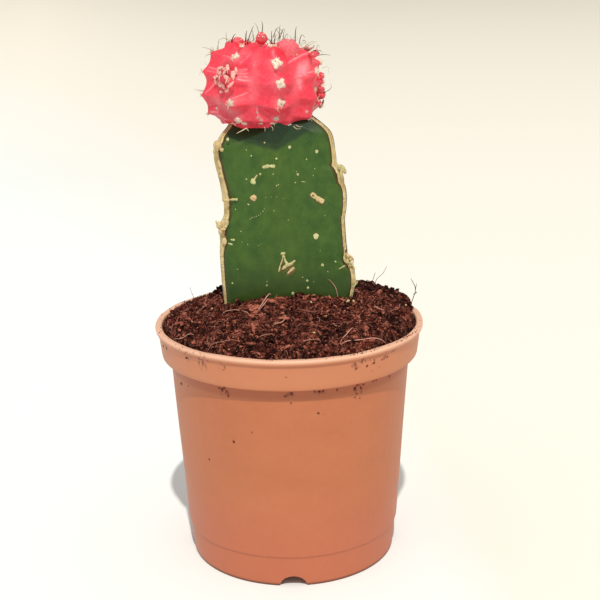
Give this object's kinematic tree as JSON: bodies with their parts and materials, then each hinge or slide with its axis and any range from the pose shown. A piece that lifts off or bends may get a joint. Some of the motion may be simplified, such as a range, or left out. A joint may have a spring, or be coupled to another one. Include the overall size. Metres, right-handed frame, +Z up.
{
  "type": "potted cactus",
  "caption": "Grafted moon cactus: a red ribbed head on a green winged stem, standing in coir mix in a round terracotta-coloured plastic nursery pot.",
  "frame": {"origin": "middle of the pot's foot, on the surface that the pot stands on", "axes": "+Z up; -Y towards the front, where one flat face of the stem shows; +X to the right of the front view"},
  "size_m": [0.09, 0.09, 0.1788],
  "materials": {
    "pot_plastic": "satin",
    "coir_mix": "rough",
    "stem_skin": "waxy satin",
    "horny_edge": "matte",
    "head_flesh": "satin"
  },
  "bodies": {
    "root": {"pot": "pot_plastic", "soil": "coir_mix", "rootstock": "stem_skin", "horny_edge_left": "horny_edge", "horny_edge_right": "horny_edge", "horny_edge_back": "horny_edge", "scion": "head_flesh"}
  },
  "joints": []
}
